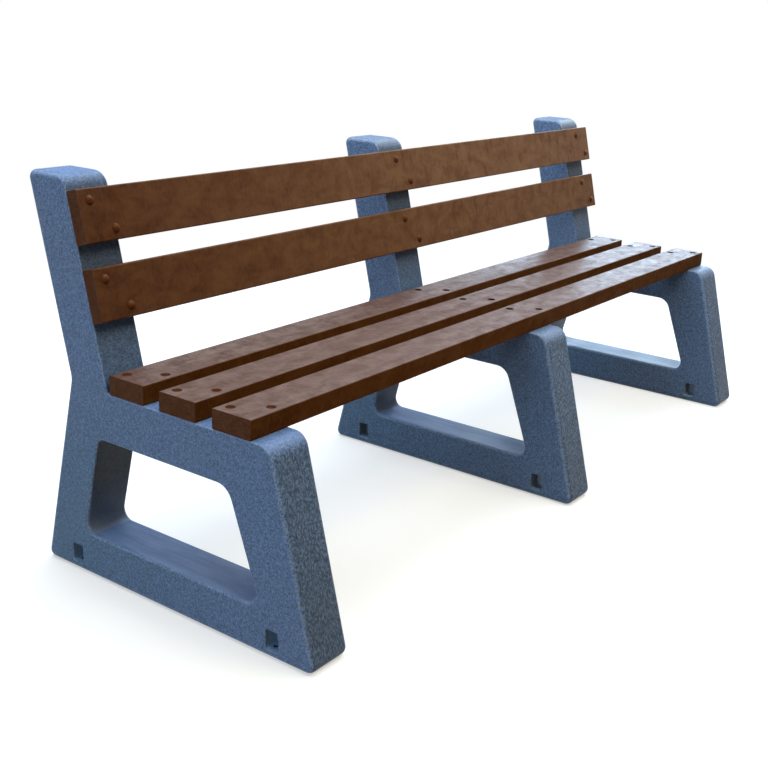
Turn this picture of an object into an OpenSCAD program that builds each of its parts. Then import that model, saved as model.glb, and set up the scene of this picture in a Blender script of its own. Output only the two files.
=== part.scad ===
// Street bench with a backrest. Three equal moulded frames stand across the bench and carry
// three seat planks and two back planks. Each plank is held on each frame by two dome-head
// screws, set on a diagonal, that turn into threaded inserts in the frame. The heads are low and
// sunk in the seat planks, and stand on the face of the back planks.
// X runs along the bench, the sitter faces -Y, Z is up. The origin is on the ground at the centre.

/* [Overall] */
// Length over the plank ends
bench_length = 2000; // [1200:10:2400]
// Height of the sitting face above the ground
seat_height = 441; // [400:1:480]
// Height of the posts above the ground
overall_height = 800; // [760:5:900]
// Length of plank that stands out past each end frame
end_overhang = 0; // [0:1:80]

/* [Frame outline] */
// Thickness of a frame along the bench
frame_width = 100; // [84:1:140]
// Depth of the foot from front to rear, over its rounded corners
frame_depth = 715; // [680:5:780]
// Slope of the front leg from the vertical
front_rake = 14.9; // [10:0.1:18]
// Slope of the rear leg from the vertical
rear_rake = 13.6; // [10:0.1:16]
// Slope of the backrest from the vertical
back_lean = 14; // [8:0.1:18]
// Height of the waist, where the rear leg meets the post
waist_height = 410; // [390:1:430]
// Depth of the post, square to its face
post_depth = 104; // [90:1:125]
// Depth of the beam below the seat planks
beam_depth = 100; // [80:1:125]
// Height of the foot rail
rail_height = 92; // [75:1:120]
// Depth of the front leg just below the beam
front_leg_head = 129; // [110:1:140]
// Depth of the front leg just above the rail
front_leg_foot = 107; // [90:1:125]
// Depth of the rear leg
rear_leg_depth = 104; // [90:1:120]

/* [Frame rounding] */
// Rounding where the side faces meet the rim
edge_round = 12; // [6:0.5:13]
// Rounding where the side faces meet the seats of the planks, on the beam and the post
seat_edge_round = 4; // [2:0.5:8]
// Rounding where the side faces meet the window
window_round = 7; // [3:0.5:10]
// Corner at the front of the foot
toe_radius = 18; // [14:1:30]
// Corner at the rear of the foot
heel_radius = 16; // [14:1:30]
// Bend at the waist
waist_radius = 40; // [10:1:60]
// Corner at the top of the post, rear side
post_rear_radius = 15; // [14:1:30]
// Corner at the top of the post, front side
post_front_radius = 30; // [14:1:40]
// Inside corner between the beam and the post
seat_corner_radius = 6; // [3:1:7]
// Corner at the front of the beam
beam_front_radius = 34; // [20:1:45]
// Corners of the window at the rail
sill_radius = 22; // [10:1:40]
// Corner of the window under the beam, rear side
window_rear_radius = 14; // [8:1:30]
// Corner of the window under the beam, front side
window_front_radius = 36; // [15:1:60]

/* [Planks] */
// Width of a seat plank
seat_plank_width = 92; // [75:1:105]
// Thickness of a seat plank
seat_plank_thickness = 39; // [28:1:50]
// Set-back of the front plank behind the front corner of the beam
seat_setback = 44; // [36:1:60]
// Open gap between the rear seat plank and the posts, on top of the beam
seat_rear_gap = 7.5; // [4:0.5:25]
// Width of a back plank
back_plank_width = 101; // [90:1:110]
// Thickness of a back plank
back_plank_thickness = 29; // [22:1:40]
// Open gap between the back planks
back_gap = 45; // [20:1:60]
// Drop of the upper back plank below the top of the post, along the post
back_drop = 30; // [25:1:60]
// Eased long edges of the planks
plank_round = 3; // [1:0.5:5]

/* [Fasteners] */
// Screw thread diameter
screw_diameter = 8; // [6:0.5:9]
// Reach of the screw into the insert
screw_reach = 21; // [15:1:22]
// Diameter of the dome head
head_diameter = 18; // [16:0.5:24]
// Height of the dome head
head_height = 5.5; // [5:0.5:7]
// Rise of the dome on a back screw's head
back_head_dome = 4.5; // [3:0.1:4.5]
// Rise of the dome on a seat screw's head
seat_head_dome = 1.5; // [1:0.1:3]
// Height of a seat screw's sunk head above the sitting face
seat_head_proud = 0.9; // [0:0.1:2]
// Room around a sunk head, on each side
head_room = 0.5; // [0.4:0.1:2]
// Outer diameter of the threaded insert
insert_diameter = 13; // [12:0.5:16]
// Length of the threaded insert
insert_length = 24; // [23:1:30]
// Distance along the bench between the two screws of a pair
screw_spread = 48; // [35:1:52]
// Distance across a seat plank between the two screws of a pair
seat_screw_spread = 52; // [40:1:55]
// Distance across a back plank between the two screws of a pair
back_screw_spread = 57; // [45:1:65]
// Room between a round part and its hole, on each side
clearance = 0.3; // [0.1:0.05:0.5]

/* [Ground anchors] */
// Distance of the anchor holes from the ends of the foot
anchor_inset = 94.5; // [80:0.5:110]
// Distance of the anchor holes from the side face
anchor_setback = 17.5; // [17.5:0.5:22]
// Distance of the anchor holes behind the middle of their pockets
anchor_offset = 5; // [0:0.5:6]
// Diameter of an anchor hole
anchor_hole = 10; // [8:0.5:10]
// Width of an anchor pocket
pocket_width = 30; // [26:1:36]
// Height of an anchor pocket
pocket_height = 38; // [30:1:45]
// Depth of an anchor pocket from the side face
pocket_depth = 32; // [30:1:38]
// Thickness of the floor under an anchor pocket
pocket_floor = 17; // [14:1:24]
// Corners of an anchor pocket
pocket_round = 5; // [2:0.5:8]

/* [Hidden] */
// Steps in each corner arc of the outline, and in the rounding of the rim
arc_steps = 6;
edge_steps = 5;
cut = 1;
frame_x = bench_length / 2 - end_overhang - frame_width / 2;
frame_places = [-frame_x, 0, frame_x];
beam_top = seat_height - seat_plank_thickness;
window_top = beam_top - beam_depth;
anchor_y = frame_depth / 2 - anchor_inset;
screw_hole = screw_diameter + 2 * clearance;
head_sink = head_height - seat_head_proud;

// A raked corner stands this far inside its sharp point when it is rounded
function corner_reach(rake, radius) = radius * (tan(45 + rake / 2) - 1);
function front_y(z) =
    -frame_depth / 2 - corner_reach(front_rake, toe_radius) + z * tan(front_rake);
function rear_leg_y(z) =
    frame_depth / 2 + corner_reach(rear_rake, heel_radius) - z * tan(rear_rake);
function post_rear_y(z) = rear_leg_y(waist_height) + (z - waist_height) * tan(back_lean);
function post_front_y(z) = post_rear_y(z) - post_depth / cos(back_lean);

// Outline and window as sharp corners, counter-clockwise: [y, z, radius, rounding of the edge
// before the corner, rounding of the edge after it]
outline = [
    [front_y(0), 0, toe_radius, edge_round, edge_round],
    [rear_leg_y(0), 0, heel_radius, edge_round, edge_round],
    [rear_leg_y(waist_height), waist_height, waist_radius, edge_round, edge_round],
    [post_rear_y(overall_height), overall_height, post_rear_radius, edge_round, edge_round],
    [post_front_y(overall_height), overall_height, post_front_radius, edge_round, seat_edge_round],
    [post_front_y(beam_top), beam_top, seat_corner_radius, seat_edge_round, seat_edge_round],
    [front_y(beam_top), beam_top, beam_front_radius, seat_edge_round, edge_round]];
window = [
    [front_y(rail_height) + front_leg_foot, rail_height, sill_radius, window_round, window_round],
    [rear_leg_y(rail_height) - rear_leg_depth, rail_height, sill_radius,
        window_round, window_round],
    [rear_leg_y(window_top) - rear_leg_depth, window_top, window_rear_radius,
        window_round, window_round],
    [front_y(window_top) + front_leg_head, window_top, window_front_radius,
        window_round, window_round]];

function flat(p) = [p[0], p[1]];
function unit(v) = v / norm(v);
function left_of(v) = [-v[1], v[0]];

// Arc at corner p between neighbours a and b, after the outline is moved left by the offset
function corner_arc(a, p, b, radius, offset) =
    let (u = unit(p - a), v = unit(b - p), n = left_of(u), m = left_of(v))
    let (side = sign(u[0] * v[1] - u[1] * v[0]), turn = acos(u * v))
    let (q = p + (n + m) * offset / (1 + n * m), rho = radius - side * offset)
    let (centre = q - u * rho * tan(turn / 2) + n * side * rho)
    let (start = atan2(-side * n[1], -side * n[0]))
    [for (j = [0:arc_steps])
        let (angle = start + side * turn * j / arc_steps)
        centre + rho * [cos(angle), sin(angle)]];

// Sections through the frame: angle around the rounding, side of the frame, and run past its face
rim_half = [for (j = [0:edge_steps]) [90 * j / edge_steps, -1, 0]];
function mirrored(half) = [for (j = [len(half) - 1:-1:0]) [half[j][0], 1, half[j][2]]];
sections = concat(rim_half, mirrored(rim_half));

// The cutter for the window runs on past both side faces
window_mouth = concat([[0, -1, cut]], rim_half);
window_sections = concat(window_mouth, mirrored(window_mouth));

// Point j of corner i on a section, with the outline drawn in (side 1) or let out (side -1)
function rim_point(corners, i, j, section, side) =
    let (count = len(corners), here = corners[i])
    let (before = corners[(i + count - 1) % count], after = corners[(i + 1) % count])
    let (round = here[3] + (here[4] - here[3]) * j / arc_steps)
    let (inset = side * round * (1 - sin(section[0])))
    let (place = corner_arc(flat(before), flat(here), flat(after), here[2], inset)[j])
    let (depth = round * (1 - cos(section[0])))
    [section[1] * (frame_width / 2 + section[2] - depth), place[0], place[1]];

// Each flat end of a loft is given as faces that can be seen whole from their first point.
// The side face of a frame is split from the waist to the seat corner.
corner_points = arc_steps + 1;
heel = corner_points + floor(arc_steps / 2);
waist = 2 * corner_points;
seat_corner = 5 * corner_points;
side_faces = [
    concat([for (i = [heel:waist]) i], [for (i = [seat_corner:7 * corner_points - 1]) i],
        [for (i = [0:heel - 1]) i]),
    concat([seat_corner], [for (i = [waist:seat_corner - 1]) i])];
window_faces = [[for (i = [0:4 * corner_points - 1]) i]];

function turned(face) = concat([face[0]], [for (i = [len(face) - 1:-1:1]) face[i]]);

// Solid lofted along X through the sections
module loft(corners, side, places, ends) {
    row = len(corners) * corner_points;
    last = (len(places) - 1) * row;
    points = [for (s = places, i = [0:len(corners) - 1], j = [0:arc_steps])
        rim_point(corners, i, j, s, side)];
    walls = [for (k = [0:len(places) - 2], i = [0:row - 1])
        let (a = k * row + i, b = k * row + (i + 1) % row)
        [a, a + row, b + row, b]];
    far_ends = [for (face = ends) [for (i = turned(face)) last + i]];
    polyhedron(points, concat(walls, ends, far_ends), convexity = 8);
}

// Body of a frame: the rim is rounded into both side faces, and so is the edge of the window
module frame_body() {
    difference() {
        loft(outline, 1, sections, side_faces);
        loft(window, -1, window_sections, window_faces);
    }
}

module rounded_bar(width, height, radius) {
    translate([radius, 0])
        square([width - 2 * radius, height]);
    translate([0, radius])
        square([width, height - 2 * radius]);
    for (x = [radius, width - radius], y = [radius, height - radius])
        translate([x, y])
            circle(r = radius, $fn = 32);
}

// A length of the profile along X, from the profile's lower front corner
module along_bench(start, length) {
    translate([start, 0, 0])
        rotate([90, 0, 90])
            linear_extrude(height = length)
                children();
}

module anchor_pocket(y) {
    translate([0, y - pocket_width / 2, pocket_floor])
        along_bench(-frame_width / 2 - cut, pocket_depth + cut)
            rounded_bar(pocket_width, pocket_height, pocket_round);
    translate([-frame_width / 2 + anchor_setback, y + anchor_offset, -cut])
        cylinder(d = anchor_hole, h = pocket_floor + 2 * cut, $fn = 48);
}

// The three seat planks share the top of the beam, with equal open gaps between them
seat_run = post_front_y(beam_top) - front_y(beam_top) - seat_setback - seat_rear_gap;
seat_gap = (seat_run - 3 * seat_plank_width) / 2;
function seat_plank_y(i) =
    front_y(beam_top) + seat_setback + i * (seat_plank_width + seat_gap);
function back_plank_drop(i) = back_drop + i * (back_plank_width + back_gap);

// Frame of reference on the front face of the posts: origin at the sharp top corner, Z up the post
module on_back() {
    translate([0, post_front_y(overall_height), overall_height])
        rotate([-back_lean, 0, 0])
            children();
}

// The two screw places of seat plank i on the frame at x, on top of the beam and pointing up
module at_seat_pair(i, x) {
    for (s = [-1, 1])
        translate([x + s * screw_spread / 2,
                seat_plank_y(i) + seat_plank_width / 2 - s * seat_screw_spread / 2, beam_top])
            children();
}

// The two screw places of back plank i on the frame at x, on the post and pointing to the sitter
module at_back_pair(i, x) {
    on_back()
        for (s = [-1, 1])
            translate([x + s * screw_spread / 2, 0,
                    -back_plank_drop(i) - back_plank_width / 2 - s * back_screw_spread / 2])
                rotate([90, 0, 0])
                    children();
}

module insert_hole() {
    translate([0, 0, -insert_length])
        cylinder(d = insert_diameter + 2 * clearance, h = insert_length + cut, $fn = 48);
}

module frame() {
    color([0.34, 0.42, 0.54])
        difference() {
            frame_body();
            for (side = [-1, 1])
                anchor_pocket(side * anchor_y);
            for (i = [0:2])
                at_seat_pair(i, 0)
                    insert_hole();
            for (i = [0:1])
                at_back_pair(i, 0)
                    insert_hole();
        }
}

module left_frame() {
    translate([frame_places[0], 0, 0])
        frame();
}

module middle_frame() {
    translate([frame_places[1], 0, 0])
        frame();
}

module right_frame() {
    translate([frame_places[2], 0, 0])
        frame();
}

// Seat plank i, with a recess for the head of each screw
module seat_plank(i) {
    color([0.40, 0.26, 0.19])
        difference() {
            translate([0, seat_plank_y(i), beam_top])
                along_bench(-bench_length / 2, bench_length)
                    rounded_bar(seat_plank_width, seat_plank_thickness, plank_round);
            for (x = frame_places)
                at_seat_pair(i, x) {
                    translate([0, 0, -cut])
                        cylinder(d = screw_hole, h = seat_plank_thickness + 2 * cut, $fn = 32);
                    translate([0, 0, seat_plank_thickness - head_sink])
                        cylinder(d = head_diameter + 2 * head_room, h = head_sink + cut, $fn = 64);
                }
        }
}

module back_plank(i) {
    color([0.36, 0.23, 0.16])
        difference() {
            on_back()
                translate([0, -back_plank_thickness, -back_plank_drop(i) - back_plank_width])
                    along_bench(-bench_length / 2, bench_length)
                        rounded_bar(back_plank_thickness, back_plank_width, plank_round);
            for (x = frame_places)
                at_back_pair(i, x)
                    translate([0, 0, -cut])
                        cylinder(d = screw_hole, h = back_plank_thickness + 2 * cut, $fn = 32);
        }
}

module front_seat_plank() {
    seat_plank(0);
}

module middle_seat_plank() {
    seat_plank(1);
}

module rear_seat_plank() {
    seat_plank(2);
}

module upper_back_plank() {
    back_plank(0);
}

module lower_back_plank() {
    back_plank(1);
}

// Screw that clamps the given thickness of plank, from the insert's mouth; a dome tops its head
module screw(clamped, dome) {
    head_radius = head_diameter / 2;
    head_edge = head_height - dome;
    ball = (head_radius * head_radius + dome * dome) / (2 * dome);
    color([0.30, 0.17, 0.10])
        translate([0, 0, clamped]) {
            cylinder(r = head_radius, h = head_edge, $fn = 64);
            translate([0, 0, head_edge])
                intersection() {
                    cylinder(r = head_radius, h = dome, $fn = 64);
                    translate([0, 0, dome - ball])
                        sphere(r = ball, $fn = 64);
                }
            translate([0, 0, -clamped - screw_reach])
                cylinder(d = screw_diameter, h = clamped + screw_reach, $fn = 32);
        }
}

module seat_screws() {
    for (x = frame_places, i = [0:2])
        at_seat_pair(i, x)
            screw(seat_plank_thickness - head_sink, seat_head_dome);
}

module back_screws() {
    for (x = frame_places, i = [0:1])
        at_back_pair(i, x)
            screw(back_plank_thickness, back_head_dome);
}

module threaded_insert() {
    color([0.72, 0.58, 0.30])
        translate([0, 0, -insert_length])
            difference() {
                cylinder(d = insert_diameter, h = insert_length, $fn = 48);
                translate([0, 0, -cut])
                    cylinder(d = screw_hole, h = insert_length + 2 * cut, $fn = 32);
            }
}

module threaded_inserts() {
    for (x = frame_places) {
        for (i = [0:2])
            at_seat_pair(i, x)
                threaded_insert();
        for (i = [0:1])
            at_back_pair(i, x)
                threaded_insert();
    }
}

left_frame();
middle_frame();
right_frame();
front_seat_plank();
middle_seat_plank();
rear_seat_plank();
upper_back_plank();
lower_back_plank();
seat_screws();
back_screws();
threaded_inserts();
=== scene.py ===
from math import cos, pi, radians, sin

import bmesh
import bpy
from mathutils import Matrix, Vector


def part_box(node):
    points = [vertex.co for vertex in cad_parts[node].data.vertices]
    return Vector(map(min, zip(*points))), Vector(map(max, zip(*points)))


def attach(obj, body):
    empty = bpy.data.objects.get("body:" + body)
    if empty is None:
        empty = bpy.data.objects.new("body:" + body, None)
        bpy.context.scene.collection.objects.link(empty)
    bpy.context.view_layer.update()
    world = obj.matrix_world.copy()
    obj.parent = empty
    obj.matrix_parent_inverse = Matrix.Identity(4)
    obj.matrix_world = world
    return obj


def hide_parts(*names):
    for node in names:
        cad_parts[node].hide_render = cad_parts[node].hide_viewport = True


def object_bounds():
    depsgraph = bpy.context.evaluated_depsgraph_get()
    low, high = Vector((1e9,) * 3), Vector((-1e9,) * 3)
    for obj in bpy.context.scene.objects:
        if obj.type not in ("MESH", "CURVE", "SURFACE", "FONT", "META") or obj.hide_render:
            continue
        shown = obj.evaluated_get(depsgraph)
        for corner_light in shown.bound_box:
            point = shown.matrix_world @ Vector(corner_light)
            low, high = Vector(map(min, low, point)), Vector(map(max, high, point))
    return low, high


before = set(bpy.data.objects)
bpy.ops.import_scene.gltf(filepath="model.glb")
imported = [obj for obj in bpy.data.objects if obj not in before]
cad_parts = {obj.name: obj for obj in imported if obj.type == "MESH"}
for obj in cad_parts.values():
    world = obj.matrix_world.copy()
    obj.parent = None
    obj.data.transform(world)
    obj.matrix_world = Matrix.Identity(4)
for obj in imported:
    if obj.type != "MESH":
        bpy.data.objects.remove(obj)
cad_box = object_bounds()
scene = bpy.context.scene
scene.view_settings.view_transform = "Standard"

# The bench's nodes, and its height in metres
FRAMES = ("left_frame", "middle_frame", "right_frame")
SEAT_PLANKS = ("front_seat_plank", "middle_seat_plank", "rear_seat_plank")
BENCH_HEIGHT = cad_box[1].z

# The anchor pockets, and the rounds that their lips and the plank ends get, in metres
POCKET_Y = 0.263
POCKET_WIDTH = 0.030
POCKET_FLOOR = 0.017
POCKET_TOP = 0.055
LIP_ROUND = 0.0028
END_ROUND = 0.0008

# What counts as one point, one plane, a sharp edge, a square edge, or a face that looks one way
SAME_POINT = 1e-5
SAME_PLANE = radians(0.4)
SHARP_EDGE = radians(35)
SQUARE_EDGE = radians(60)
SIDE_FACE_DEPTH = 1e-4
POCKET_FLOOR_FACING = 0.7
SAT_ON_FACING = 0.6
PLANK_END_FACING = 0.99
PLANK_END_CORNERS = 8


# Camera

def aim_camera():
    """Camera at the picture's place, found from the plank edges."""
    place = Vector((-2.3244, -1.4455, 1.1083))
    heading, climb, roll = radians(54.08), radians(-18.28), radians(2.29)
    focal_length, sensor_width = 53.26, 36.0
    look = Vector((sin(heading) * cos(climb), cos(heading) * cos(climb), sin(climb)))
    level = look.cross(Vector((0, 0, 1))).normalized()
    upright = level.cross(look)
    right = level * cos(roll) + upright * sin(roll)
    up = upright * cos(roll) - level * sin(roll)
    lens = bpy.data.cameras.new("view")
    lens.sensor_width = sensor_width
    lens.lens = focal_length
    camera = bpy.data.objects.new("view", lens)
    scene.collection.objects.link(camera)
    turn = Matrix((right, up, -look)).transposed().to_4x4()
    camera.matrix_world = Matrix.Translation(place) @ turn
    scene.camera = camera


# Node helpers

def put(tree, kind, inputs=None, **settings):
    """Adds a node, sets its properties, then sets or links its inputs."""
    made = tree.nodes.new(kind)
    for key, value in settings.items():
        setattr(made, key, value)
    for key, value in (inputs or {}).items():
        if isinstance(value, bpy.types.NodeSocket):
            tree.links.new(value, made.inputs[key])
        else:
            made.inputs[key].default_value = value
    return made


def effect(name, inputs, outputs):
    """An empty shader group with named sockets, and its two end nodes."""
    group = bpy.data.node_groups.new(name, "ShaderNodeTree")
    for key, kind, value in inputs:
        socket = group.interface.new_socket(key, in_out="INPUT", socket_type=kind)
        if value is not None:
            socket.default_value = value
    for key, kind in outputs:
        group.interface.new_socket(key, in_out="OUTPUT", socket_type=kind)
    return group, put(group, "NodeGroupInput").outputs, put(group, "NodeGroupOutput").inputs


def use(tree, group, **inputs):
    """Places a shader group in a material and returns its outputs."""
    return put(tree, "ShaderNodeGroup", inputs, node_tree=group).outputs


def ramp(tree, value, stops):
    """Colour ramp through the given stops: place and colour."""
    made = put(tree, "ShaderNodeValToRGB", {"Fac": value})
    band = made.color_ramp.elements
    while len(band) < len(stops):
        band.new(1.0)
    for element, (place, colour) in zip(band, stops):
        element.position = place
        element.color = (*colour, 1.0)
    return made.outputs["Color"]


# Socket numbers of a Mix node that mixes colours, whose names repeat
MIX_SHARE, MIX_A, MIX_B, MIX_RESULT = 0, 6, 7, 2


def blend(tree, share, a, b, kind="MIX"):
    """Mixes two colours."""
    made = put(tree, "ShaderNodeMix", data_type="RGBA", blend_type=kind)
    for place, value in ((MIX_SHARE, share), (MIX_A, a), (MIX_B, b)):
        if isinstance(value, bpy.types.NodeSocket):
            tree.links.new(value, made.inputs[place])
        elif place == MIX_SHARE:
            made.inputs[place].default_value = value
        else:
            made.inputs[place].default_value = (*value, 1.0)
    return made.outputs[MIX_RESULT]


def sums(tree, operation, a, b=0.0, clamp=False):
    """Arithmetic on one or two values."""
    made = put(tree, "ShaderNodeMath", {0: a, 1: b}, operation=operation, use_clamp=clamp)
    return made.outputs[0]


def times(tree, first, *others):
    """Product of two or more values."""
    product = first
    for other in others:
        product = sums(tree, "MULTIPLY", product, other)
    return product


def span(tree, value, low, high, to_low=0.0, to_high=1.0):
    """Maps a value's band onto another band."""
    return put(tree, "ShaderNodeMapRange", {
        "Value": value, "From Min": low, "From Max": high, "To Min": to_low, "To Max": to_high,
    }).outputs["Result"]


def between(tree, value, at_none, at_full):
    """Lays a value that runs from 0 to 1 between two ends."""
    return span(tree, value, 0.0, 1.0, at_none, at_full)


def stretched(tree, at, scale):
    """Coordinates for a pattern that is drawn out along the axes where the scale is under 1."""
    return put(tree, "ShaderNodeMapping", {"Vector": at, "Scale": scale}).outputs[0]


def axes(tree, vector):
    """The three parts of a place or a direction."""
    return put(tree, "ShaderNodeSeparateXYZ", {"Vector": vector}).outputs


# Shared effects

def cloud_effect():
    """Soft patches that wander into each other."""
    usual_low, usual_high = 0.3, 0.7
    group, given, result = effect("cloud", [
        ("Vector", "NodeSocketVector", None), ("Scale", "NodeSocketFloat", 10.0),
        ("Wander", "NodeSocketFloat", 1.0)], [("Value", "NodeSocketFloat")])
    patches = put(group, "ShaderNodeTexNoise", {
        "Vector": given["Vector"], "Scale": given["Scale"], "Detail": 5.0, "Roughness": 0.55,
        "Distortion": given["Wander"]})
    group.links.new(span(group, patches.outputs[0], usual_low, usual_high), result["Value"])
    return group


def fleck_effect():
    """Loose grains: a share of the cells of a fine cell pattern."""
    cell_edge, cell_body = 0.62, 0.42
    group, given, result = effect("fleck", [
        ("Vector", "NodeSocketVector", None), ("Scale", "NodeSocketFloat", 300.0),
        ("Share", "NodeSocketFloat", 0.2)], [("Mask", "NodeSocketFloat")])
    cells = put(group, "ShaderNodeTexVoronoi", {
        "Vector": given["Vector"], "Scale": given["Scale"], "Randomness": 1.0})
    pick = put(group, "ShaderNodeSeparateColor", {"Color": cells.outputs["Color"]}).outputs[0]
    chosen = sums(group, "LESS_THAN", pick, given["Share"])
    body = span(group, cells.outputs["Distance"], cell_edge, cell_body)
    group.links.new(times(group, chosen, body), result["Mask"])
    return group


def grain_effect():
    """Height of a fine moulded skin: small pits over a slow unevenness."""
    group, given, result = effect("grain", [
        ("Vector", "NodeSocketVector", None), ("Scale", "NodeSocketFloat", 300.0),
        ("Waves", "NodeSocketFloat", 12.0), ("Share", "NodeSocketFloat", 0.5)],
        [("Height", "NodeSocketFloat")])
    pits = put(group, "ShaderNodeTexNoise", {
        "Vector": given["Vector"], "Scale": given["Scale"], "Detail": 3.0, "Roughness": 0.6})
    waves = put(group, "ShaderNodeTexNoise", {
        "Vector": given["Vector"], "Scale": given["Waves"], "Detail": 2.0})
    height = put(group, "ShaderNodeMix", {
        "Factor": given["Share"], "A": waves.outputs[0], "B": pits.outputs[0]})
    group.links.new(height.outputs["Result"], result["Height"])
    return group


def vein_effect():
    """Thin wandering lines, where a slow pattern passes its middle value."""
    middle = 0.5
    group, given, result = effect("vein", [
        ("Vector", "NodeSocketVector", None), ("Scale", "NodeSocketFloat", 12.0),
        ("Width", "NodeSocketFloat", 0.02)], [("Mask", "NodeSocketFloat")])
    slow = put(group, "ShaderNodeTexNoise", {
        "Vector": given["Vector"], "Scale": given["Scale"], "Detail": 4.0, "Roughness": 0.6,
        "Distortion": 1.2})
    away = sums(group, "ABSOLUTE", sums(group, "SUBTRACT", slow.outputs[0], middle))
    line = span(group, away, 0.0, given["Width"], 1.0, 0.0)
    group.links.new(line, result["Mask"])
    return group


CLOUD, FLECK, GRAIN, VEIN = cloud_effect(), fleck_effect(), grain_effect(), vein_effect()


# Finishes

def finish(name, **constants):
    """A material with one Principled shader, its Object coordinates and its constant sockets."""
    made = bpy.data.materials.new(name)
    made.use_nodes = True
    tree = made.node_tree
    tree.nodes.clear()
    shader = put(tree, "ShaderNodeBsdfPrincipled",
                 {key.replace("_", " "): value for key, value in constants.items()})
    put(tree, "ShaderNodeOutputMaterial", {"Surface": shader.outputs[0]})
    return made, tree, shader.inputs, put(tree, "ShaderNodeTexCoord").outputs["Object"]


def bump(tree, skin, height, strength, depth):
    """Raises a finish's skin by a height."""
    made = put(tree, "ShaderNodeBump", {"Height": height, "Strength": strength, "Distance": depth})
    tree.links.new(made.outputs[0], skin["Normal"])


# Bands on the frames where the moulding's look changes, in metres or, for LOOKS, as a part of the normal
LOOKS_FORWARD = (-0.4, -0.9)
LEG_DEPTH = (-0.1, -0.2)
POST_DEPTH = (-0.20, -0.10)
LEG_SHADE_HEIGHT = (0.10, 0.27)
LEG_SHADE = (0.26, 0.0)
LOW_REAR_DEPTH = (-0.15, 0.33)
LOW_REAR_HEIGHT = (0.45, 0.20)
FOOT_HEIGHT = (0.22, 0.08)
RIM_LOOKS_ASIDE = (0.35, 0.60)
RIM_LOOKS_LESS_ASIDE = (0.97, 0.85)
TOP_LOOKS_UP = (0.25, 0.80)
TOP_HEIGHT = (0.2, 0.3)
TOP_ALONG = (-0.9, 0.0)
BROW_LOOKS_FORWARD = (-0.1, -0.5)
BROW_HEIGHT = (0.755, 0.79)
BROW_ALONG = (-0.4, 0.9)
CAP_LOOKS_UP = (0.85, 0.98)
CAP_HEIGHT = (0.5, 0.6)
SILL_LOOKS_UP = (0.70, 0.95)
SILL_STARTS = (0.082, 0.090)
SILL_ENDS = (0.125, 0.105)
SILL_SHADE_ALONG = (0.2, 0.8)
CORNER_LOOKS_FORWARD = (-0.05, -0.35)
CORNER_LOOKS_ASIDE = (0.6, 0.3)
CORNER_DEPTH = (-0.1, 0.0)
CORNER_HEIGHT = (0.19, 0.12)

# Painted shade on the forward faces of the posts and inside the windows: a part of the bench's height, and
# how dark it lies there
POST_SHADE = (
    (0.14, 0.0), (0.27, 1.0), (0.45, 1.0), (0.55, 0.0),
    (0.70, 0.0), (0.77, 0.56), (0.88, 0.56), (0.93, 0.24))


def forward_shade(tree, facing, place):
    """Painted shade on faces that look forward: thick under the planks, on the posts and in the windows,
    and thin low on the legs.
    """
    leg = span(tree, place["Z"], *LEG_SHADE_HEIGHT, *LEG_SHADE)
    post = ramp(tree, span(tree, place["Z"], 0.0, BENCH_HEIGHT),
                [(height, (shade, shade, shade)) for height, shade in POST_SHADE])
    darkness = blend(tree, span(tree, place["Y"], *POST_DEPTH), leg, post)
    return times(tree, span(tree, facing["Y"], *LOOKS_FORWARD), darkness)


def sill_polish_and_sheen(tree, facing, place):
    """Mask of the rail's top inside the window, where the skin is polished smooth and a painted sheen
    lies.
    """
    low = times(tree, span(tree, place["Z"], *SILL_STARTS), span(tree, place["Z"], *SILL_ENDS))
    return times(tree, span(tree, facing["Z"], *SILL_LOOKS_UP), low)


def speckled(tree, at, clouds, fine):
    """Blue-grey body of the moulding, with its grains."""
    body = ramp(tree, clouds, [(0.0, (0.122, 0.209, 0.396)), (1.0, (0.136, 0.230, 0.430))])
    coarse = use(tree, CLOUD, Vector=at, Scale=130.0, Wander=0.3)["Value"]
    dark = use(tree, FLECK, Vector=at, Scale=340.0, Share=0.2)["Mask"]
    pale = use(tree, FLECK, Vector=at, Scale=320.0, Share=0.12)["Mask"]
    for grains, strength, colour in (
            (coarse, 0.75, (0.050, 0.086, 0.168)), (fine, 0.85, (0.046, 0.080, 0.156)),
            (dark, 0.7, (0.022, 0.032, 0.050)), (pale, 0.4, (0.200, 0.272, 0.400))):
        body = blend(tree, times(tree, grains, strength), body, colour)
    return body


def pitted_and_darkened_low(tree, at, facing, place, body):
    """A coarser grain on the fronts of the legs and low down, and a darker, bluer tone low at the rear."""
    low_share = 0.42
    low_rear = times(tree, span(tree, place["Y"], *LOW_REAR_DEPTH), span(tree, place["Z"], *LOW_REAR_HEIGHT))
    leg_fronts = times(tree, span(tree, facing["Y"], *LOOKS_FORWARD), span(tree, place["Y"], *LEG_DEPTH))
    low_down = sums(tree, "MAXIMUM", span(tree, place["Z"], *FOOT_HEIGHT), low_rear)
    coarser = sums(tree, "MAXIMUM", leg_fronts, times(tree, low_down, low_share))
    upright = stretched(tree, at, (1.0, 1.0, 0.5))
    pits = use(tree, CLOUD, Vector=upright, Scale=300.0, Wander=0.0)["Value"]
    for starts, full, strength, colour in (
            (0.48, 0.80, 0.68, (0.018, 0.025, 0.040)), (0.45, 0.12, 0.58, (0.205, 0.310, 0.480))):
        share = times(tree, coarser, span(tree, pits, starts, full, 0.0, strength))
        body = blend(tree, share, body, colour)
    # Darker and bluer low at the rear
    return blend(tree, low_rear, body, (0.67, 0.81, 0.77), "MULTIPLY")


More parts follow.
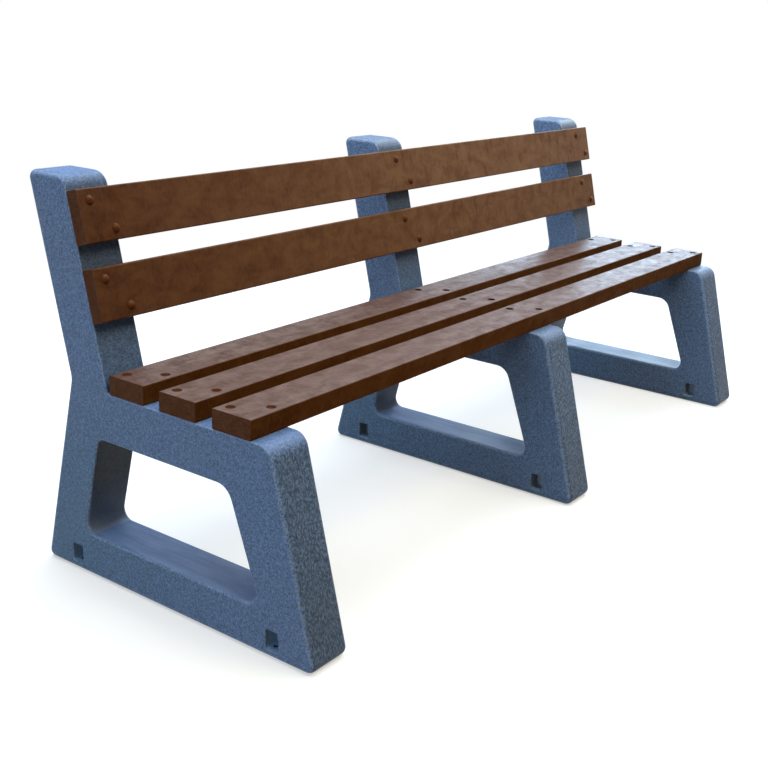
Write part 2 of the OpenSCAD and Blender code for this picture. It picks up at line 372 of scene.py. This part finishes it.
def lit_rims_tops_and_brows(tree, facing, place, aside, fine, body):
    """Painted light: rims paler grain by grain as a highlight, tops paler and bluer as sky light, and pale
    highlights on the brows of the posts.
    """
    highlight_on_pale, highlight_on_dark = 0.50, 0.05
    light_share, brow_highlight_strength = 0.16, 0.42
    # Painted highlight along the rims between the sides and the fronts, strongest on the pale grains
    rim = times(tree, span(tree, aside, *RIM_LOOKS_ASIDE), span(tree, aside, *RIM_LOOKS_LESS_ASIDE))
    rim_highlight = times(tree, rim, span(tree, fine, 0.2, 0.8, highlight_on_pale, highlight_on_dark))
    body = blend(tree, rim_highlight, body, (0.270, 0.350, 0.500))
    # Painted sky light on faces that look up: paler, and bluer towards the left end
    lit_tops = times(tree, span(tree, facing["Z"], *TOP_LOOKS_UP), span(tree, place["Z"], *TOP_HEIGHT))
    sky_tint = blend(tree, span(tree, place["X"], *TOP_ALONG), (0.230, 0.360, 0.760), (0.320, 0.370, 0.470))
    body = blend(tree, times(tree, lit_tops, light_share), body, sky_tint)
    # Painted highlight on the forward brows of the posts, stronger further along the bench
    brow_highlight = times(tree, span(tree, facing["Y"], *BROW_LOOKS_FORWARD), span(tree, place["Z"], *BROW_HEIGHT),
                 span(tree, place["X"], *BROW_ALONG, 0.0, brow_highlight_strength))
    return blend(tree, brow_highlight, body, (0.330, 0.380, 0.450))


def sill_sheen_and_corner_light(tree, at, facing, place, aside, worn, body):
    """Painted sheen in soft streaks on the polished sills, painted shade that browns them further along,
    and painted light in the corner behind them.
    """
    sheen_strength, corner_light_strength = 0.75, 0.6
    # Painted sheen: paler streaks on the sill
    drawn = stretched(tree, at, (1.0, 0.12, 1.0))
    streaks = use(tree, CLOUD, Vector=drawn, Scale=70.0, Wander=0.6)["Value"]
    sill_sheen = ramp(tree, streaks, [(0.0, (0.114, 0.182, 0.370)), (1.0, (0.208, 0.314, 0.575))])
    # Painted shade: the sills browner further along the bench
    shade_further_along = span(tree, place["X"], *SILL_SHADE_ALONG)
    sill_sheen = blend(tree, shade_further_along, sill_sheen, (0.72, 0.66, 0.58), "MULTIPLY")
    body = blend(tree, times(tree, worn, sheen_strength), body, sill_sheen)
    # Painted light that lifts the shaded corner behind the sill
    corner_light = times(tree, span(tree, facing["Y"], *CORNER_LOOKS_FORWARD),
                   span(tree, place["Y"], *CORNER_DEPTH), span(tree, aside, *CORNER_LOOKS_ASIDE),
                   span(tree, place["Z"], *CORNER_HEIGHT, 0.0, corner_light_strength))
    return blend(tree, corner_light, body, (0.240, 0.300, 0.400))


def granite_moulding():
    """Granite-effect moulding: dark and pale grains in a blue-grey body, polished on its sills, with
    painted light and shade on its rims, tops, brows, sills and forward faces.
    """
    cap_dullness, sill_dullness, sill_relief = 0.30, 0.04, 0.2
    made, tree, skin, at = finish("granite_moulding", Specular_IOR_Level=0.22)
    place = axes(tree, at)
    facing = axes(tree, put(tree, "ShaderNodeTexCoord").outputs["Normal"])
    aside = sums(tree, "ABSOLUTE", facing["X"])
    clouds = use(tree, CLOUD, Vector=at, Scale=7.0, Wander=0.8)["Value"]
    fine = use(tree, CLOUD, Vector=at, Scale=260.0, Wander=0.0)["Value"]
    worn = sill_polish_and_sheen(tree, facing, place)
    body = speckled(tree, at, clouds, fine)
    body = pitted_and_darkened_low(tree, at, facing, place, body)
    body = lit_rims_tops_and_brows(tree, facing, place, aside, fine, body)
    body = sill_sheen_and_corner_light(tree, at, facing, place, aside, worn, body)
    # Painted shade: forward faces darker and warmer under the planks and low on the legs
    body = blend(tree, forward_shade(tree, facing, place), body, (0.50, 0.36, 0.27), "MULTIPLY")
    tree.links.new(body, skin["Base Color"])
    satin = between(tree, clouds, 0.42, 0.54)
    caps = times(tree, span(tree, facing["Z"], *CAP_LOOKS_UP), span(tree, place["Z"], *CAP_HEIGHT))
    duller = sums(tree, "ADD", satin, times(tree, caps, cap_dullness))
    tree.links.new(sums(tree, "ADD", duller, times(tree, worn, sill_dullness)), skin["Roughness"])
    height = use(tree, GRAIN, Vector=at, Scale=400.0, Waves=9.0, Share=0.5)["Height"]
    height = times(tree, height, between(tree, worn, 1.0, sill_relief))
    bump(tree, skin, height, strength=1.0, depth=0.0018)
    return made


# Stretches along the bench, in metres, over which painted shade browns the pockets, painted sheen grows on
# the planks and painted shade blackens the heads
POCKET_SHADE_ALONG = (-0.8, 0.0)
SHEEN_ALONG = (-1.0, 0.2)
HEAD_SHADE_ALONG = (-0.9, 0.4)


def pocket_light(name, low, high):
    """Painted light in the anchor pockets: linings paler than the moulding so that they show lit, and
    browner further along the bench as painted shade.
    """
    made, tree, skin, at = finish(name, Specular_IOR_Level=0.05)
    patches = use(tree, CLOUD, Vector=at, Scale=90.0, Wander=0.8)["Value"]
    colour = ramp(tree, patches, [(0.0, low), (1.0, high)])
    # Painted shade: browner further along the bench
    pocket_shade = span(tree, axes(tree, at)["X"], *POCKET_SHADE_ALONG)
    tree.links.new(blend(tree, pocket_shade, colour, (0.84, 0.76, 0.70), "MULTIPLY"), skin["Base Color"])
    tree.links.new(between(tree, patches, 0.8, 0.7), skin["Roughness"])
    height = use(tree, GRAIN, Vector=at, Scale=420.0, Waves=60.0, Share=0.5)["Height"]
    bump(tree, skin, height, strength=0.4, depth=0.001)
    return made


def brown_plank(name, deep, warm, film, sheen_colour, gloss, shine, relief, flow, light_share, stretch):
    """Brown plank plastic: a deep to warm grain and thin flow lines across the plank, under a paler film
    in swirls, and a painted sheen that grows over the swirls further along the bench."""
    film_strength, least_sheen = 0.72, 0.60
    line_dullness, line_depth = 0.3, 0.5
    swirl_edge, stain_edge = (0.15, 0.85), (0.55, 1.0)
    made, tree, skin, at = finish(name, Specular_IOR_Level=gloss)
    across = stretched(tree, at, (1.0, stretch, stretch))
    spots = use(tree, CLOUD, Vector=across, Scale=170.0, Wander=0.6)["Value"]
    along = stretched(tree, at, (0.6, 1.0, 1.0))
    drifts = use(tree, CLOUD, Vector=along, Scale=34.0, Wander=0.5)["Value"]
    swirls = span(tree, drifts, *swirl_edge)
    patches = use(tree, CLOUD, Vector=across, Scale=38.0, Wander=0.3)["Value"]
    colour = ramp(tree, spots, [(0.0, deep), (1.0, warm)])
    colour = blend(tree, times(tree, swirls, film_strength), colour, film)
    # Painted sheen: paler and greyer over the swirls, growing further along the bench
    sheen_along = span(tree, axes(tree, at)["X"], *SHEEN_ALONG, 0.0, light_share)
    sheened = times(tree, sheen_along, between(tree, swirls, least_sheen, 1.0))
    colour = blend(tree, sheened, colour, sheen_colour)
    stains = times(tree, span(tree, patches, *stain_edge), sheen_along)
    colour = blend(tree, stains, colour, warm)
    lines = use(tree, VEIN, Vector=across, Scale=44.0, Width=0.026)["Mask"]
    broken = times(tree, lines, patches, flow)
    colour = blend(tree, broken, colour, (0.022, 0.008, 0.004))
    tree.links.new(colour, skin["Base Color"])
    sheen = sums(tree, "ADD", times(tree, swirls, 0.5), times(tree, spots, 0.5))
    dulled = sums(tree, "ADD", between(tree, sheen, *shine), times(tree, broken, line_dullness))
    tree.links.new(dulled, skin["Roughness"])
    height = use(tree, GRAIN, Vector=across, Scale=420.0, Waves=120.0, Share=0.3)["Height"]
    height = sums(tree, "SUBTRACT", height, times(tree, broken, line_depth))
    bump(tree, skin, height, strength=relief, depth=0.0016)
    return made


def sawn_end():
    """Sawn end of a plank: uneven brown core with soft saw marks."""
    core_strength, mark_strength = 0.6, 0.6
    made, tree, skin, at = finish("sawn_end", Specular_IOR_Level=0.04)
    planks = use(tree, CLOUD, Vector=at, Scale=6.0, Wander=0.0)["Value"]
    colour = ramp(tree, planks, [(0.0, (0.064, 0.016, 0.004)), (1.0, (0.082, 0.034, 0.017))])
    core = use(tree, CLOUD, Vector=at, Scale=70.0, Wander=1.2)["Value"]
    colour = blend(tree, times(tree, core, core_strength), colour, (0.104, 0.054, 0.034))
    strokes = stretched(tree, at, (1.0, 0.3, 1.6))
    marks = use(tree, CLOUD, Vector=strokes, Scale=190.0, Wander=0.3)["Value"]
    colour = blend(tree, times(tree, marks, mark_strength), colour, (0.034, 0.010, 0.003))
    tree.links.new(colour, skin["Base Color"])
    tree.links.new(between(tree, core, 0.74, 0.62), skin["Roughness"])
    height = use(tree, GRAIN, Vector=strokes, Scale=260.0, Waves=50.0, Share=0.6)["Height"]
    bump(tree, skin, height, strength=0.5, depth=0.001)
    return made


def screw_paint(name, deep, worn, gloss, dull, bright, head_shade):
    """Brown paint on dome heads, worn paler in patches, with painted shade that blackens more heads
    further along the bench.
    """
    made, tree, skin, at = finish(name, Specular_IOR_Level=gloss)
    patches = use(tree, CLOUD, Vector=at, Scale=180.0, Wander=0.6)["Value"]
    colour = ramp(tree, patches, [(0.0, deep), (1.0, worn)])
    each = use(tree, CLOUD, Vector=at, Scale=5.0, Wander=0.0)["Value"]
    chance = between(tree, each, -0.3, 0.3)
    # Painted shade: black on more heads further along the bench
    shade_further_along = sums(tree, "ADD", span(tree, axes(tree, at)["X"], *HEAD_SHADE_ALONG), chance)
    shaded_share = sums(tree, "MULTIPLY", shade_further_along, head_shade, clamp=True)
    tree.links.new(blend(tree, shaded_share, colour, (0.003, 0.002, 0.001)), skin["Base Color"])
    tree.links.new(between(tree, patches, dull, bright), skin["Roughness"])
    height = use(tree, GRAIN, Vector=at, Scale=900.0, Waves=250.0, Share=0.5)["Height"]
    bump(tree, skin, height, strength=0.25, depth=0.0003)
    return made


def insert_brass():
    """Brass of the threaded inserts, dull from handling."""
    made, tree, skin, at = finish("insert_brass", Metallic=1.0)
    patches = use(tree, CLOUD, Vector=at, Scale=150.0, Wander=0.5)["Value"]
    colour = ramp(tree, patches, [(0.0, (0.42, 0.28, 0.10)), (1.0, (0.62, 0.45, 0.20))])
    tree.links.new(colour, skin["Base Color"])
    tree.links.new(between(tree, patches, 0.42, 0.30), skin["Roughness"])
    return made


# Pieces

def mesh_object(name, bm, materials):
    """Turns a bmesh into an object of the scene."""
    mesh = bpy.data.meshes.new(name)
    bm.to_mesh(mesh)
    bm.free()
    for material in materials:
        mesh.materials.append(material)
    made = bpy.data.objects.new(name, mesh)
    scene.collection.objects.link(made)
    return made


def shown(name, bm, materials, node):
    """Turns a bmesh into a piece that rides on the bench and stands for a CAD node."""
    for face in bm.faces:
        face.smooth = True
    for edge in bm.edges:
        edge.smooth = edge.calc_face_angle(0.0) < SHARP_EDGE
    piece = mesh_object(name, bm, materials)
    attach(piece, "root")
    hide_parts(node)
    weigh_normals(piece)


def weigh_normals(piece):
    """Keeps the large flat faces flat in the shading, beside their rounded edges."""
    weighted = piece.modifiers.new("flat_faces", "WEIGHTED_NORMAL")
    weighted.weight = 80
    weighted.keep_sharp = True


def merged_copy(node):
    """A bmesh of a node's solid, with its loose triangles joined and its flat faces made whole."""
    bm = bmesh.new()
    bm.from_mesh(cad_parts[node].data)
    bmesh.ops.remove_doubles(bm, verts=bm.verts, dist=SAME_POINT)
    bmesh.ops.dissolve_limit(bm, angle_limit=SAME_PLANE, verts=bm.verts, edges=bm.edges)
    return bm


def ease(bm, faces, offset, segments):
    """Rounds the square edges around the given flat faces."""
    chosen = set(faces)
    rims = [e for e in bm.edges if len(chosen.intersection(e.link_faces)) == 1
            and e.calc_face_angle(0.0) > SQUARE_EDGE]
    bmesh.ops.bevel(bm, geom=rims, offset=offset, offset_type="OFFSET", segments=segments,
                    profile=0.5, affect="EDGES", material=-1)


def in_pocket(place):
    """True inside the bounds of an anchor pocket, seen along the bench."""
    return (abs(abs(place.y) - POCKET_Y) < POCKET_WIDTH / 2 + LIP_ROUND
            and POCKET_FLOOR - LIP_ROUND < place.z < POCKET_TOP + LIP_ROUND)


def moulded_frame(node, moulding, pocket_wall, pocket_floor):
    """Moulding with eased lips at its anchor pockets, whose walls and floors have their own finishes of
    painted light.
    """
    materials = [moulding, pocket_wall, pocket_floor]
    bm = merged_copy(node)
    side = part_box(node)[0].x
    flat_side = [f for f in bm.faces if f.calc_center_median().x < side + SIDE_FACE_DEPTH]
    ease(bm, flat_side, LIP_ROUND, segments=3)
    for face in bm.faces:
        centre = face.calc_center_median()
        if in_pocket(centre) and centre.x > side + LIP_ROUND:
            lining = pocket_floor if face.normal.z > POCKET_FLOOR_FACING else pocket_wall
            face.material_index = materials.index(lining)
    shown(node.replace("frame", "moulding"), bm, materials, node)


def is_end(face):
    """True on the flat end of a plank, and not on the small faces of its eased edge."""
    return abs(face.normal.x) > PLANK_END_FACING and len(face.verts) > PLANK_END_CORNERS


def plank(node, faces, end, top):
    """Plank with eased ends; the ends, and the faces that look up, have finishes of their own."""
    materials = [faces, end, top]
    bm = merged_copy(node)
    ease(bm, [f for f in bm.faces if is_end(f)], END_ROUND, segments=2)
    for face in bm.faces:
        if is_end(face):
            face.material_index = 1
        elif face.normal.z > SAT_ON_FACING:
            face.material_index = 2
    shown(node.replace("plank", "board"), bm, materials, node)


# Studio

WHITE = (1.0, 1.0, 1.0, 1.0)


def shows_backdrop(tree):
    """Mask of the rays that show the backdrop: to the camera, off a mirror or through glass."""
    path = put(tree, "ShaderNodeLightPath").outputs
    mirrored = sums(tree, "MAXIMUM", path["Is Glossy Ray"], path["Is Transmission Ray"])
    return sums(tree, "MAXIMUM", path["Is Camera Ray"], mirrored)


def studio_floor():
    """Pale floor that fades to white away from the bench and keeps the bench's shadow."""
    half_size, below_feet = 40.0, 0.0005
    pale_reach, white_reach = 1.5, 3.2
    made = bpy.data.materials.new("studio_floor")
    made.use_nodes = True
    tree = made.node_tree
    tree.nodes.clear()
    plain = put(tree, "ShaderNodeBsdfDiffuse", {"Color": (0.18, 0.13, 0.08, 1.0)})
    paper = put(tree, "ShaderNodeBsdfDiffuse", {"Color": (0.60, 0.615, 0.64, 1.0)})
    glow = put(tree, "ShaderNodeEmission", {"Color": WHITE, "Strength": 0.45})
    near = put(tree, "ShaderNodeAddShader", {0: paper.outputs[0], 1: glow.outputs[0]})
    far = put(tree, "ShaderNodeEmission", {"Color": WHITE, "Strength": 1.0})
    at = put(tree, "ShaderNodeTexCoord").outputs["Object"]
    reach = put(tree, "ShaderNodeVectorMath", {0: at}, operation="LENGTH").outputs["Value"]
    white = put(tree, "ShaderNodeMixShader", {
        0: span(tree, reach, pale_reach, white_reach), 1: near.outputs[0], 2: far.outputs[0]})
    either = put(tree, "ShaderNodeMixShader", {
        0: shows_backdrop(tree), 1: plain.outputs[0], 2: white.outputs[0]})
    put(tree, "ShaderNodeOutputMaterial", {"Surface": either.outputs[0]})
    bm = bmesh.new()
    bmesh.ops.create_grid(bm, x_segments=1, y_segments=1, size=half_size)
    bmesh.ops.translate(bm, vec=(0, 0, -below_feet), verts=bm.verts)
    floor = mesh_object("floor", bm, [made])


def front_flag():
    """Dark card in front of the bench, unseen by the camera, that keeps light off its front."""
    width, height = 8.5, 3.2
    place = (1.75, -4.6, height / 2)
    black = bpy.data.materials.new("studio_flag")
    black.use_nodes = True
    black.node_tree.nodes["Principled BSDF"].inputs["Base Color"].default_value = (0.03, 0.03, 0.03, 1.0)
    bm = bmesh.new()
    bmesh.ops.create_grid(bm, x_segments=1, y_segments=1, size=0.5)
    bmesh.ops.scale(bm, vec=(width, height, 1.0), verts=bm.verts)
    bmesh.ops.rotate(bm, cent=(0, 0, 0), matrix=Matrix.Rotation(pi / 2, 3, "X"), verts=bm.verts)
    bmesh.ops.translate(bm, vec=place, verts=bm.verts)
    card = mesh_object("front_flag", bm, [black])
    card.visible_camera = False


def studio_sky():
    """Faint warm light from all round, that shows as white."""
    sky = bpy.data.worlds.new("studio")
    sky.use_nodes = True
    tree = sky.node_tree
    tree.nodes.clear()
    soft = put(tree, "ShaderNodeBackground", {"Color": (1.0, 0.76, 0.52, 1.0), "Strength": 0.13})
    white = put(tree, "ShaderNodeBackground", {"Color": WHITE, "Strength": 1.0})
    either = put(tree, "ShaderNodeMixShader", {
        0: shows_backdrop(tree), 1: soft.outputs[0], 2: white.outputs[0]})
    put(tree, "ShaderNodeOutputWorld", {"Surface": either.outputs[0]})
    scene.world = sky


def softbox(name, place, aim, width, depth, power, colour):
    """Soft lamp, in metres and watts, turned to a point of the bench and unseen by the camera."""
    lamp = bpy.data.lights.new(name, "AREA")
    lamp.shape = "RECTANGLE"
    lamp.size = width
    lamp.size_y = depth
    lamp.energy = power
    lamp.color = colour
    box = bpy.data.objects.new(name, lamp)
    box.location = place
    box.rotation_mode = "QUATERNION"
    box.rotation_quaternion = (Vector(aim) - Vector(place)).to_track_quat("-Z", "Y")
    box.visible_camera = False
    scene.collection.objects.link(box)


# Bench

aim_camera()
studio_floor()
front_flag()
studio_sky()
softbox("overhead", place=(0.4, 0.5, 3.2), aim=(0.2, 0.1, 0.4), width=4.4, depth=3.2, power=182.0,
        colour=(0.80, 0.92, 1.0))
softbox("side", place=(-26.0, 3.0, 4.8), aim=(0.0, 0.1, 0.5), width=17.0, depth=10.0, power=4400.0,
        colour=(0.75, 0.90, 1.0))
softbox("front", place=(-0.4, -2.1, 3.5), aim=(0.0, 0.0, 0.5), width=3.0, depth=1.4, power=86.0,
        colour=(1.0, 0.87, 0.60))
softbox("rear", place=(6.0, 1.75, 1.6), aim=(0.8, 0.0, 0.45), width=3.1, depth=2.4, power=240.0,
        colour=(0.54, 0.77, 1.0))

granite, sawn = granite_moulding(), sawn_end()
# Painted light: pocket walls and floors paler than the moulding, so that they show lit
wall_light = pocket_light("pocket_wall_light", low=(0.200, 0.280, 0.370), high=(0.290, 0.400, 0.510))
floor_light = pocket_light("pocket_floor_light", low=(0.180, 0.290, 0.480), high=(0.260, 0.400, 0.640))
seat_side = brown_plank(
    "seat_side", deep=(0.046, 0.013, 0.002), warm=(0.086, 0.028, 0.006), film=(0.100, 0.038, 0.011),
    sheen_colour=(0.112, 0.052, 0.020), gloss=0.015, shine=(0.66, 0.54), relief=0.4, flow=0.2, light_share=0.35,
    stretch=0.5)
sat_on = brown_plank(
    "sat_on_plank", deep=(0.034, 0.010, 0.003), warm=(0.074, 0.024, 0.009), film=(0.128, 0.071, 0.060),
    sheen_colour=(0.112, 0.065, 0.056), gloss=0.32, shine=(0.65, 0.39), relief=0.5, flow=0.5, light_share=0.25,
    stretch=0.3)
upper_face = brown_plank(
    "upper_back_face", deep=(0.044, 0.012, 0.003), warm=(0.090, 0.031, 0.011), film=(0.113, 0.047, 0.020),
    sheen_colour=(0.215, 0.113, 0.058), gloss=0.10, shine=(0.52, 0.42), relief=0.6, flow=0.35, light_share=0.73,
    stretch=0.5)
# Painted shade: the lower back plank's finish is a darker copy of the upper one, with less sheen
lower_shaded_face = brown_plank(
    "lower_back_shaded_face", deep=(0.041, 0.011, 0.003), warm=(0.086, 0.028, 0.010), film=(0.116, 0.049, 0.020),
    sheen_colour=(0.192, 0.095, 0.042), gloss=0.09, shine=(0.52, 0.42), relief=0.6, flow=0.35, light_share=0.66,
    stretch=0.5)
# Painted shade: the sunk heads' paint is darker than the proud heads', for the shade in their recesses
sunk_shaded_paint = screw_paint(
    "sunk_head_shaded_paint", deep=(0.038, 0.011, 0.005), worn=(0.086, 0.028, 0.013), gloss=0.0, dull=0.6,
    bright=0.5, head_shade=1.1)
proud_paint = screw_paint(
    "proud_head_paint", deep=(0.074, 0.019, 0.003), worn=(0.108, 0.031, 0.006), gloss=0.07, dull=0.30,
    bright=0.22, head_shade=0.0)

for node in FRAMES:
    moulded_frame(node, moulding=granite, pocket_wall=wall_light, pocket_floor=floor_light)
for node in SEAT_PLANKS:
    plank(node, faces=seat_side, end=sawn, top=sat_on)
plank("upper_back_plank", faces=upper_face, end=sawn, top=upper_face)
plank("lower_back_plank", faces=lower_shaded_face, end=sawn, top=lower_shaded_face)
for node, material in (("seat_screws", sunk_shaded_paint), ("back_screws", proud_paint),
                       ("threaded_inserts", insert_brass())):
    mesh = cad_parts[node].data
    mesh.materials.clear()
    mesh.materials.append(material)
